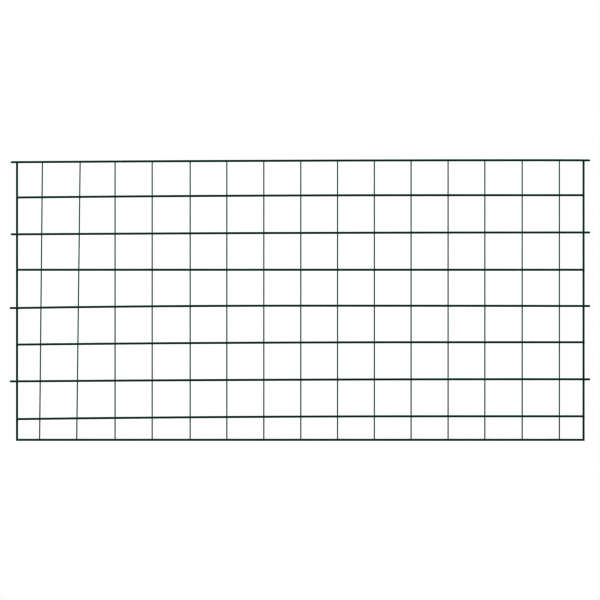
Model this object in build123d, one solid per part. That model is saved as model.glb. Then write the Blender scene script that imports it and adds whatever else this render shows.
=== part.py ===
from build123d import *

import math
import os
from typing import NamedTuple

# A flat, rigid panel of welded wire mesh, in millimetres.
# Thick line wires run along the panel. Behind them stand thin cross wires, and at each end
# one thick edge wire. Every crossing is resistance welded.
# X runs along the panel, Y from its front to its back and Z up.
# The origin is in the middle of the underside.

# Wire sizes
LINE_R = 2.4
EDGE_R = 2.4
CROSS_R = 1.2
BEVEL = 0.3  # on every sheared wire end

# Spacing along the panel
PITCH = 100.0  # from one cross wire to the next
END_GAP = 65.0  # from an edge wire to the nearest cross wire

# Welds
EDGE_SINK = 0.5  # how far an edge wire is pressed into each line wire
CROSS_SINK = 0.3  # how far a cross wire is pressed into each line wire
WELD_REACH = 2 / 3  # how far a collar reaches into each wire, as a share of the upright's radius
WELD_COVER = 0.96  # a collar's rim as a share of the wire's half width there, so it stays hidden

# Stubs
RIGHT_STUB = 17.2  # from the centre of the edge wire to the tip
ROOT_CLEAR = 1.0  # from the edge wire's outer side to the bend at the stub's root

# The length over which each slight bend is spread
ROOT_BEND = 1.2  # where the bow ends and the level stub begins
CELL_BEND = 12.0  # in the middle of a mesh cell, between two uprights
LEAST_BEND = 0.001  # degrees, below which a corner counts as straight


class Row(NamedTuple):
    """One line wire. It is bowed a little, and hangs lower at its ends than at its crest."""

    gap: float  # from the crest of the row below to this one's
    left_drop: float  # how much lower the left end hangs
    right_drop: float  # how much lower the right end hangs
    crest: float  # where the highest point is: 0 in the middle, 1 at the right end
    left_stub: float  # from the left edge wire's centre to the tip, or 0 with both ends flush


# From the bottom up
ROWS = [
    Row(0.0, 0.0, 0.0, 1.0, 0.0),
    Row(63.5, 7.6, 0.0, 0.5, 0.0),
    Row(100.1, 5.8, 0.3, 0.9, 18.8),
    Row(99.8, 6.4, 0.0, 0.5, 0.0),
    Row(98.7, 6.3, 0.8, 0.0, 18.8),
    Row(97.0, 0.0, 0.0, 1.0, 0.0),
    Row(100.7, 5.0, 0.0, 1.0, 16.3),
    Row(100.6, 6.2, 0.0, 0.5, 0.0),
    Row(94.4, 5.2, 0.3, 0.9, 16.3),
]

# Where each cross wire was welded: how far its foot and its head are from the even spacing,
# from left to right. The first two stand at a slant.
CROSS_SHIFTS = [
    (-4.0, 3.7),
    (-3.8, 5.5),
    (-0.2, -0.2),
    (0.0, 0.0),
    (2.6, 2.6),
    (1.6, 1.6),
    (1.5, 1.5),
    (1.4, 1.4),
    (0.6, 0.6),
    (0.0, 0.0),
    (-0.8, -0.8),
    (-0.9, -0.9),
    (-1.6, -1.6),
    (-0.8, -0.8),
    (-0.3, -0.3),
]

# Worked out from the sizes above
HALF = END_GAP + PITCH * (len(CROSS_SHIFTS) - 1) / 2  # from the middle to an edge wire
DEPTH = 2 * LINE_R + 2 * EDGE_R - EDGE_SINK
LINE_Y = LINE_R - DEPTH / 2
EDGE_Y = DEPTH / 2 - EDGE_R
CROSS_Y = LINE_Y + LINE_R + CROSS_R - CROSS_SINK
STUB_ROOT = EDGE_R + ROOT_CLEAR + ROOT_BEND / 2  # from the edge wire's centre to the bend
CREST_Z = [LINE_R + sum(row.gap for row in ROWS[: i + 1]) for i in range(len(ROWS))]
CROSS_X = [END_GAP - HALF + PITCH * i for i in range(len(CROSS_SHIFTS))]
UPRIGHT_X = [-HALF, *CROSS_X, HALF]


def bow_end(i):
    """How far from the middle a line wire's bow ends."""
    return HALF + (STUB_ROOT if ROWS[i].left_stub else EDGE_R)


def row_z(i, x):
    """The height of a line wire's centre at x. Each side of its crest is one arc or straight."""
    row = ROWS[i]
    crest_x = row.crest * bow_end(i)
    drop = row.left_drop if x < crest_x else row.right_drop
    if drop == 0:
        return CREST_Z[i]
    run = crest_x + bow_end(i) if x < crest_x else bow_end(i) - crest_x
    radius = (run**2 + drop**2) / (2 * drop)
    return CREST_Z[i] - radius + math.sqrt(radius**2 - (x - crest_x) ** 2)


def bent_path(points, bends):
    """Straights between the points, with each corner rounded over the length of its bend."""
    path = []
    start = points[0]
    for before, corner, after, bend in zip(points, points[1:], points[2:], bends):
        way_in = (corner - before).normalized()
        way_out = (after - corner).normalized()
        if way_in.get_angle(way_out) < LEAST_BEND:
            continue
        arc_start = corner - way_in * bend / 2
        arc_end = corner + way_out * bend / 2
        path.append(Edge.make_line(start, arc_start))
        path.append(Edge.make_tangent_arc(arc_start, way_in, arc_end))
        start = arc_end
    path.append(Edge.make_line(start, points[-1]))
    return path


def wire_along(radius, path):
    """A round wire along edges that run on from one another, with both ends bevelled."""
    section = Plane(origin=path[0] @ 0, z_dir=path[0] % 0) * Circle(radius)
    wire = sweep(section, path=Wire(path))
    return chamfer(wire.faces().filter_by(GeomType.PLANE).edges(), BEVEL).solid()


def line_wire(i):
    """A line wire, which is straight at every crossing and bends in the middle of the cells."""
    row = ROWS[i]
    cells = zip(UPRIGHT_X, UPRIGHT_X[1:])
    bend_x = [-bow_end(i), *((a + b) / 2 for a, b in cells), bow_end(i)]
    points = [Vector(x, LINE_Y, row_z(i, x)) for x in bend_x]
    bends = [CELL_BEND] * (len(points) - 2)
    if row.left_stub:
        left_tip = points[0] - Vector(row.left_stub - STUB_ROOT, 0, 0)
        right_tip = points[-1] + Vector(RIGHT_STUB - STUB_ROOT, 0, 0)
        points = [left_tip, *points, right_tip]
        bends = [ROOT_BEND, *bends, ROOT_BEND]
    return wire_along(LINE_R, bent_path(points, bends))


def upright(radius, y, foot_x, head_x):
    """A wire that stands behind the line wires, flush with the lowest and the highest of them."""
    foot = Vector(foot_x, y, row_z(0, foot_x) - LINE_R)
    head = Vector(head_x, y, row_z(len(ROWS) - 1, head_x) + LINE_R)
    return wire_along(radius, [Edge.make_line(foot, head)])


def weld_collar(i, radius, y, sink, foot_x, head_x):
    """The metal squeezed out between a line wire and an upright, before both are cut from it."""
    share = (row_z(i, (foot_x + head_x) / 2) - LINE_R) / (CREST_Z[-1] - LINE_R)
    x = foot_x + (head_x - foot_x) * share
    reach = WELD_REACH * radius
    rims = []
    for wire_r in (LINE_R, radius):
        off_axis = wire_r - sink / 2 - reach
        rims.append(WELD_COVER * math.sqrt(wire_r**2 - off_axis**2))
    contact_y = y - radius + sink / 2
    profile = Polyline(
        (0, contact_y - reach),
        (rims[0], contact_y - reach),
        (rims[1], contact_y + reach),
        (0, contact_y + reach),
        close=True,
    )
    blank = revolve(make_face(profile), Axis.Y)
    return Pos(x, 0, row_z(i, x)) * blank


parts = {}
line_wires = [line_wire(i) for i in range(len(ROWS))]
for i, wire in enumerate(line_wires):
    parts[f"line_wire_{i + 1}"] = wire

# Name, radius, depth, sink, and where the foot and the head stand
uprights = [
    ("edge_wire_left", EDGE_R, EDGE_Y, EDGE_SINK, -HALF, -HALF),
    ("edge_wire_right", EDGE_R, EDGE_Y, EDGE_SINK, HALF, HALF),
]
for i, (foot_shift, head_shift) in enumerate(CROSS_SHIFTS):
    foot_x = CROSS_X[i] + foot_shift
    head_x = CROSS_X[i] + head_shift
    uprights.append((f"cross_wire_{i + 1:02}", CROSS_R, CROSS_Y, CROSS_SINK, foot_x, head_x))

collars = [[] for _ in ROWS]
for name, radius, y, sink, foot_x, head_x in uprights:
    whole = upright(radius, y, foot_x, head_x)
    parts[name] = whole.cut(*line_wires).solid()
    for i, wire in enumerate(line_wires):
        blank = weld_collar(i, radius, y, sink, foot_x, head_x)
        collars[i].append(blank.solid().cut(wire, whole).solid())
for i, row_collars in enumerate(collars):
    parts[f"welds_{i + 1}"] = Compound(row_collars)

os.makedirs("parts", exist_ok=True)
for name, shape in parts.items():
    export_step(shape, f"parts/{name}.step")
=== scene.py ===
"""Looks of the welded mesh panel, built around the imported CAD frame. Everything is in metres."""

import math

import bpy
import numpy as np
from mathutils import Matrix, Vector


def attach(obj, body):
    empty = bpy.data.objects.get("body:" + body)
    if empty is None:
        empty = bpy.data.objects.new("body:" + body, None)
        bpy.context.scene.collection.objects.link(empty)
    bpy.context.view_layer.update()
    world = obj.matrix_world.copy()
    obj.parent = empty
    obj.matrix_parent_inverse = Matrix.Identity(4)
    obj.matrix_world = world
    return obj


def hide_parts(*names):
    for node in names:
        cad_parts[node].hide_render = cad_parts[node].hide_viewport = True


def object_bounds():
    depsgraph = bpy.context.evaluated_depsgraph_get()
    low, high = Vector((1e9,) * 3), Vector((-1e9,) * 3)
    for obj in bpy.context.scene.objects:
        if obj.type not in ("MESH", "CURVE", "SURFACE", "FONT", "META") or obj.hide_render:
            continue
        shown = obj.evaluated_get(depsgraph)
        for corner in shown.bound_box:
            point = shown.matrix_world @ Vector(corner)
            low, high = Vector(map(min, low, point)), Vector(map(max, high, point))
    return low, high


X, Y, Z = range(3)

# The rings of vertices along a CAD wire
RING_BREAK = 0.00008  # the least step from one ring to the next
RING_LEAST = 12  # the fewest vertices in a full ring
RING_ROUND = 0.00005  # how much a full ring may be out of round

# Wire skins
SKIN_STEP = 0.008  # from one ring of vertices to the next
SIDES = {"line": 28, "edge": 28, "cross": 20}  # vertices in a ring, for each kind of wire
SMOOTH_REACH = 0.03  # how far a line wire's slight bends are smoothed to each side
SMOOTH_PLACES = 9  # how many places along the wire are averaged for that
TIP_ROUND = 0.22  # rounding of a wire's end, as a share of its radius
TIP_LEVELS = 5  # steps over the rounding
TIP_WEAR_FALL = 0.8  # how much less worn the rounding is at its two rims than in its middle
SHEAR_TILT = 0.05  # most that a sheared end leans, as a slope
LEAN_WORN = 0.5  # how much of the lean is worn away in the middle of the rounding

# Weld fillets
WELD_STEPS = 40  # around the fillet
WELD_LEVELS = 7  # from one wire to the other
WELD_LEG = 0.0010  # how far the fillet reaches over each wire
WELD_UNEVEN = 0.16  # how much one fillet's reach differs from the next, as a share
WELD_LUMPS = 0.10  # how much the reach varies around one fillet, as a share
WELD_BITE = 0.00003  # how far a fillet's rim is below the wire's surface, so no gap shows
WELD_WEAR = 0.15  # how worn the coating on a fillet is, where 1 is as worn as it gets
FOOT_HEIGHT = 0.86  # most of the line wire's radius that the fillet's foot takes up and down
TOP_HEIGHT = 0.92  # the same for its top, which is on the upright
TOP_WIDTH = 0.96  # how much of the upright's radius its top takes to each side
BURIED = 0.6  # size of the ring inside the wires, as a share of where their surfaces meet

# Powder coat. A noise scale is in lumps per metre, and a window is the part of a noise's
# values, or of a slope's, that the effect is spread over.
DARK_GREEN = (0.0025, 0.0270, 0.0190, 1)
LIGHT_GREEN = (0.0045, 0.0380, 0.0270, 1)
SHADE_SCALE = 9.0
SHADE_WINDOW = (0.35, 0.65)
DUST = (0.085, 0.090, 0.078, 1)
DUST_MOST = 0.30
DUST_SLOPE = (0.35, 1.0)
DUST_SCALE = 60.0
DUST_WINDOW = (0.45, 0.75)
THIN_COAT = (0.070, 0.105, 0.090, 1)
THIN_MOST = 0.55
THIN_SCALE = 900.0
THIN_WINDOW = (0.48, 0.62)
ROUGHNESS = (0.36, 0.52)
GLOSS_SCALE = 420.0
GLOSS_WINDOW = (0.3, 0.7)
PEEL_SCALE = 750.0
PEEL_STRENGTH = 0.7
PEEL_DEPTH = 0.00015
GRAIN_SCALE = 4200.0
GRAIN_STRENGTH = 0.4
GRAIN_DEPTH = 0.00003

# Camera and floor
FRAME_SHARE = 1.0346  # width of the view over width of the panel
CAMERA_DISTANCE = 14.0
SENSOR = 0.036
DISPLAY_GAMMA = 0.45  # keeps thin dark wires dark against the white
FLOOR_DROP = 0.30  # how far the floor is below the panel, as a share of its height
FLOOR_REACH = 12.0  # from the middle of the floor to each side
VIEW_END = 100.0  # how far the camera sees

# Lamps: name, place from the middle of the panel, width and power
LAMPS = [
    ("key", (-2.4, -2.8, 2.6), 2.2, 480),
    ("fill", (2.8, -2.6, 1.6), 2.6, 240),
    ("back_left", (-2.6, 2.8, 2.2), 2.4, 240),
    ("back_right", (2.4, 2.8, 2.4), 2.4, 320),
]

random = np.random.default_rng(7)


# Wires


def cad_rings(node, axis):
    """The centre and radius of each full ring of vertices along a CAD wire, in order."""
    points = np.array([v.co for v in node.data.vertices], float)
    points = np.unique(points.round(6), axis=0)
    points = points[np.argsort(points[:, axis])]
    breaks = np.flatnonzero(np.diff(points[:, axis]) > RING_BREAK) + 1
    rings = []
    for ring in np.split(points, breaks):
        centre = ring.mean(axis=0)
        reach = np.linalg.norm(np.delete(ring - centre, axis, axis=1), axis=1)
        if len(ring) >= RING_LEAST and np.ptp(reach) < RING_ROUND:
            rings.append((centre, reach.max()))
    return rings


class Wire:
    """The centre line and radius of one CAD wire, which runs along X or Z."""

    def __init__(self, name, axis):
        rings = cad_rings(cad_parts[name], axis)
        self.name = name
        self.axis = axis
        self.centres = np.array([centre for centre, _ in rings])
        self.radius = max(radius for _, radius in rings)
        self.rounding = TIP_ROUND * self.radius
        self.start = self.centres[0, axis]
        self.end = self.centres[-1, axis]

    def at(self, along):
        """The centre at a place along the wire, with its slight bends smoothed."""
        near = np.array([along])
        if min(along - self.start, self.end - along) >= SMOOTH_REACH:
            near = along + SMOOTH_REACH * np.linspace(-1, 1, SMOOTH_PLACES)
        line = [np.interp(near, self.centres[:, self.axis], self.centres[:, k]) for k in range(3)]
        point = np.mean(line, axis=1)
        point[self.axis] = along
        return point


def wire_stations(wire):
    """(place along the wire, radius, wear) of each ring, with both ends rounded."""
    tip = []
    for level in range(TIP_LEVELS + 1):
        angle = math.pi / 2 * level / TIP_LEVELS
        inward = wire.rounding * (1 - math.sin(angle))
        radius = wire.radius - wire.rounding * (1 - math.cos(angle))
        wear = 1 - TIP_WEAR_FALL * abs(2 * level / TIP_LEVELS - 1)
        tip.append((inward, radius, wear))
    count = round((wire.end - wire.start - 2 * wire.rounding) / SKIN_STEP)
    middle = np.linspace(wire.start + wire.rounding, wire.end - wire.rounding, count + 1)[1:-1]
    first = [(wire.start + inward, radius, wear) for inward, radius, wear in reversed(tip)]
    last = [(wire.end - inward, radius, wear) for inward, radius, wear in tip]
    return first + [(along, wire.radius, 0.0) for along in middle] + last


def ring_faces(offset, rings, steps, closed):
    """Faces between rings of points, which start at the offset. A closed skin joins up its
    last ring with its first."""
    faces = []
    for level in range(rings if closed else rings - 1):
        low = offset + level * steps
        high = offset + (level + 1) % rings * steps
        for k in range(steps):
            after = (k + 1) % steps
            faces.append((low + k, low + after, high + after, high + k))
    return faces


def wire_skin(wire, sides):
    """A round, smooth skin along a wire, with sheared and rounded ends."""
    across = [k for k in range(3) if k != wire.axis]
    angles = 2 * math.pi * (np.arange(sides) + 0.5) / sides
    tilts = random.uniform(-SHEAR_TILT, SHEAR_TILT, (2, 2))
    stations = wire_stations(wire)
    points, wear = [], []
    for along, radius, worn in stations:
        ring = np.tile(wire.at(along), (sides, 1))
        ring[:, across[0]] += radius * np.cos(angles)
        ring[:, across[1]] += radius * np.sin(angles)
        for end, tilt in zip((wire.start, wire.end), tilts):
            if abs(along - end) <= wire.rounding:
                lean = (ring - wire.at(along))[:, across] @ tilt
                inward = 1 if end == wire.start else -1
                ring[:, wire.axis] += inward * (lean - lean.min()) * (1 - LEAN_WORN * worn)
        points.extend(ring)
        wear.extend([worn] * sides)
    last = (len(stations) - 1) * sides
    faces = ring_faces(0, len(stations), sides, closed=False)
    faces.append(tuple(reversed(range(sides))))
    faces.append(tuple(range(last, last + sides)))
    return points, faces, wear


# Welds


def crossing(line, upright):
    """Where a line wire and an upright pass each other: the centre of each of them."""
    x = upright.at(line.at(0)[Z])[X]
    for _ in range(3):  # each round comes closer, as both wires may slope
        z = line.at(x)[Z]
        x = upright.at(z)[X]
    return np.array((x, line.at(x)[Y], z)), np.array((x, upright.at(z)[Y], z))


def on_wire(wire, centre, outline, side, depth):
    """An outline laid on a wire's front (side -1) or back (side 1), at a depth under its skin."""
    ring = np.stack([outline[0], np.zeros(WELD_STEPS), outline[1]], axis=1)
    around = X + Z - wire.axis
    height = np.sqrt((wire.radius - depth) ** 2 - (ring[:, around] - centre[around]) ** 2)
    ring[:, Y] = centre[Y] + side * height
    low, high = wire.start + wire.rounding, wire.end - wire.rounding
    ring[:, wire.axis] = np.clip(ring[:, wire.axis], low, high)
    return ring


def weld_fillet(line, upright):
    """Weld metal and coating in the corner round one crossing: rings from line wire to upright."""
    line_centre, upright_centre = crossing(line, upright)
    overlap = line.radius + upright.radius - (upright_centre[Y] - line_centre[Y])
    around = 2 * math.pi * np.arange(WELD_STEPS) / WELD_STEPS
    phase = random.uniform(0, 2 * math.pi, 3)
    lumps = sum(np.cos(n * around + phase[n - 2]) for n in (2, 3, 4)) / 3
    uneven = random.uniform(-WELD_UNEVEN, WELD_UNEVEN)
    leg = WELD_LEG * (1 + uneven) * (1 + WELD_LUMPS * lumps)

    def oval(half_x, half_z):
        x = line_centre[X] + half_x * np.cos(around)
        z = line_centre[Z] + half_z * np.sin(around)
        return x, z

    # Where the two surfaces meet, and how far the fillet reaches from there over each of them
    meet_x = math.sqrt(upright.radius**2 - (upright.radius - overlap) ** 2)
    meet_z = math.sqrt(line.radius**2 - (line.radius - overlap) ** 2)
    foot_z = np.minimum(meet_z + leg, FOOT_HEIGHT * line.radius)
    top_z = np.minimum(meet_z + leg, TOP_HEIGHT * line.radius)
    top_x = TOP_WIDTH * upright.radius
    foot = on_wire(line, line_centre, oval(upright.radius + leg, foot_z), 1, WELD_BITE)
    corner = on_wire(line, line_centre, oval(meet_x, meet_z), 1, 0)
    top = on_wire(upright, upright_centre, oval(top_x, top_z), -1, WELD_BITE)
    rings = []
    for t in np.linspace(0, 1, WELD_LEVELS + 1):
        rings.append((1 - t) ** 2 * foot + 2 * t * (1 - t) * corner + t**2 * top)
    # The last ring is buried where the wires overlap, and closes the fillet
    inside = oval(BURIED * meet_x, BURIED * meet_z)
    return [*rings, on_wire(line, line_centre, inside, 1, overlap / 2)]


def weld_row(line, uprights):
    """The fillets of one line wire."""
    points, faces = [], []
    for upright in uprights:
        rings = weld_fillet(line, upright)
        # Seen along its rings, a fillet's outline runs the other way round than a wire's
        for a, b, c, d in ring_faces(len(points), len(rings), WELD_STEPS, closed=True):
            faces.append((a, d, c, b))
        points += [point for ring in rings for point in ring]
    return points, faces, [WELD_WEAR] * len(points)


# Coating


class Graph:
    """Adds nodes to a material. What each method returns is an output for the next one."""

    def __init__(self, tree):
        self.nodes = tree.nodes
        self.links = tree.links
        self.place = self.nodes.new("ShaderNodeTexCoord").outputs["Object"]

    def noise(self, scale, detail, roughness=0.55):
        node = self.nodes.new("ShaderNodeTexNoise")
        node.inputs["Scale"].default_value = scale
        node.inputs["Detail"].default_value = detail
        node.inputs["Roughness"].default_value = roughness
        self.links.new(self.place, node.inputs["Vector"])
        return node.outputs["Fac"]

    def facing_up(self):
        """1 where the surface faces straight up, and -1 where it faces down."""
        geometry = self.nodes.new("ShaderNodeNewGeometry")
        node = self.nodes.new("ShaderNodeSeparateXYZ")
        self.links.new(geometry.outputs["Normal"], node.inputs["Vector"])
        return node.outputs["Z"]

    def attribute(self, name):
        node = self.nodes.new("ShaderNodeAttribute")
        node.attribute_name = name
        return node.outputs["Fac"]

    def stretched(self, value, window, result=(0.0, 1.0)):
        """The value with a window of it stretched over the result, and cut off beyond."""
        node = self.nodes.new("ShaderNodeMapRange")
        limits = zip(("From Min", "From Max", "To Min", "To Max"), (*window, *result))
        for socket, limit in limits:
            node.inputs[socket].default_value = limit
        self.links.new(value, node.inputs["Value"])
        return node.outputs["Result"]

    def product(self, a, b):
        node = self.nodes.new("ShaderNodeMath")
        node.operation = "MULTIPLY"
        self.links.new(a, node.inputs[0])
        self.links.new(b, node.inputs[1])
        return node.outputs["Value"]

    def mixed(self, share, under, over):
        """A share of the colour over another, which is a colour itself or an output."""
        node = self.nodes.new("ShaderNodeMix")
        node.data_type = "RGBA"
        under_socket, over_socket = (s for s in node.inputs if s.type == "RGBA")
        over_socket.default_value = over
        if isinstance(under, tuple):
            under_socket.default_value = under
        else:
            self.links.new(under, under_socket)
        self.links.new(share, node.inputs["Factor"])
        return next(s for s in node.outputs if s.type == "RGBA")

    def bump(self, height, strength, depth, under=None):
        """A bumpy surface, laid over another bump if one is given."""
        node = self.nodes.new("ShaderNodeBump")
        node.inputs["Strength"].default_value = strength
        node.inputs["Distance"].default_value = depth
        self.links.new(height, node.inputs["Height"])
        if under:
            self.links.new(under, node.inputs["Normal"])
        return node.outputs["Normal"]


def powder_coat():
    """Dark green powder coat: satin, with an orange-peel surface, a little dust and thin rims."""
    material = bpy.data.materials.new("coated_wire")
    material.use_nodes = True
    shader = material.node_tree.nodes["Principled BSDF"]
    shader.inputs["IOR"].default_value = 1.5
    shader.inputs["Specular IOR Level"].default_value = 0.25
    graph = Graph(material.node_tree)

    shade = graph.stretched(graph.noise(SHADE_SCALE, detail=3), SHADE_WINDOW)
    green = graph.mixed(shade, DARK_GREEN, LIGHT_GREEN)
    upward = graph.stretched(graph.facing_up(), DUST_SLOPE, (0.0, DUST_MOST))
    patches = graph.stretched(graph.noise(DUST_SCALE, detail=4), DUST_WINDOW)
    dusted = graph.mixed(graph.product(upward, patches), green, DUST)
    thin = graph.stretched(graph.noise(THIN_SCALE, detail=3), THIN_WINDOW, (0.0, THIN_MOST))
    worn = graph.mixed(graph.product(graph.attribute("wear"), thin), dusted, THIN_COAT)
    graph.links.new(worn, shader.inputs["Base Color"])

    roughness = graph.stretched(graph.noise(GLOSS_SCALE, detail=3), GLOSS_WINDOW, ROUGHNESS)
    graph.links.new(roughness, shader.inputs["Roughness"])

    lumps = graph.noise(PEEL_SCALE, detail=2, roughness=0.4)
    peel = graph.bump(lumps, PEEL_STRENGTH, PEEL_DEPTH)
    specks = graph.noise(GRAIN_SCALE, detail=2)
    grain = graph.bump(specks, GRAIN_STRENGTH, GRAIN_DEPTH, under=peel)
    graph.links.new(grain, shader.inputs["Normal"])
    return material


def new_piece(replaced, points, faces, wear):
    """A smooth, coated piece that stands for a CAD node, with its wear kept on its vertices."""
    name = replaced + "_skin"
    mesh = bpy.data.meshes.new(name)
    mesh.from_pydata([tuple(p) for p in points], [], faces)
    mesh.update()
    mesh.shade_smooth()
    attribute = mesh.attributes.new("wear", "FLOAT", "POINT")
    attribute.data.foreach_set("value", np.array(wear, np.float32))
    mesh.materials.append(coating)
    piece = bpy.data.objects.new(name, mesh)
    bpy.context.scene.collection.objects.link(piece)
    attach(piece, "root")
    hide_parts(replaced)


# Stage


def white_floor(height):
    """A floor as bright as the white surroundings."""
    material = bpy.data.materials.new("stage_white")
    material.use_nodes = True
    shader = material.node_tree.nodes["Principled BSDF"]
    shader.inputs["Base Color"].default_value = (0, 0, 0, 1)
    shader.inputs["Specular IOR Level"].default_value = 0
    shader.inputs["Emission Color"].default_value = (1, 1, 1, 1)
    shader.inputs["Emission Strength"].default_value = 1
    mesh = bpy.data.meshes.new("floor")
    signs = ((-1, -1), (1, -1), (1, 1), (-1, 1))
    corners = [(x * FLOOR_REACH, y * FLOOR_REACH, 0) for x, y in signs]
    mesh.from_pydata(corners, [], [(0, 1, 2, 3)])
    mesh.materials.append(material)
    floor = bpy.data.objects.new("floor", mesh)
    floor.location.z = height
    bpy.context.scene.collection.objects.link(floor)


def white_surroundings():
    world = bpy.data.worlds.new("studio")
    world.use_nodes = True
    background = world.node_tree.nodes["Background"]
    background.inputs["Color"].default_value = (1, 1, 1, 1)
    background.inputs["Strength"].default_value = 1
    bpy.context.scene.world = world


def soft_light(name, place, target, width, power):
    """A round, wide lamp that points at the target."""
    lamp = bpy.data.lights.new(name, "AREA")
    lamp.shape = "DISK"
    lamp.size = width
    lamp.energy = power
    thing = bpy.data.objects.new(name, lamp)
    thing.location = place
    thing.rotation_euler = (target - place).to_track_quat("-Z", "Y").to_euler()
    bpy.context.scene.collection.objects.link(thing)


def front_camera(target, panel_width):
    """A long lens square on to the panel."""
    camera = bpy.data.cameras.new("camera")
    camera.sensor_width = SENSOR * 1000
    camera.lens = 1000 * SENSOR * CAMERA_DISTANCE / (FRAME_SHARE * panel_width)
    camera.clip_end = VIEW_END
    thing = bpy.data.objects.new("camera", camera)
    thing.location = target + Vector((0, -CAMERA_DISTANCE, 0))
    thing.rotation_euler = (math.pi / 2, 0, 0)
    bpy.context.scene.collection.objects.link(thing)
    bpy.context.scene.camera = thing


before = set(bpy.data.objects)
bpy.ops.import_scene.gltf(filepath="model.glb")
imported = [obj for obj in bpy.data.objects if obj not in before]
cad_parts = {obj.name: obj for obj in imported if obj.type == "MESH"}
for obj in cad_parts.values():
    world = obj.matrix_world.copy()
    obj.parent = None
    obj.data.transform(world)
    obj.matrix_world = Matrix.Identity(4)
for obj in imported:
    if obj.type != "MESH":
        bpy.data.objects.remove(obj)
cad_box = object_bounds()
coating = powder_coat()

names = sorted(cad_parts)
lines = [Wire(name, X) for name in names if name.startswith("line_wire")]
uprights = [Wire(name, Z) for name in names if name.startswith(("edge_wire", "cross_wire"))]
for wire in lines + uprights:
    kind = wire.name.split("_")[0]
    new_piece(wire.name, *wire_skin(wire, SIDES[kind]))
for line in lines:
    new_piece(line.name.replace("line_wire", "welds"), *weld_row(line, uprights))

low, high = cad_box
middle = (low + high) / 2
white_floor(low.z - FLOOR_DROP * (high.z - low.z))
white_surroundings()
for name, offset, width, power in LAMPS:
    soft_light(name, middle + Vector(offset), middle, width, power)
front_camera(middle, high.x - low.x)
bpy.context.scene.view_settings.view_transform = "Standard"
bpy.context.scene.view_settings.gamma = DISPLAY_GAMMA
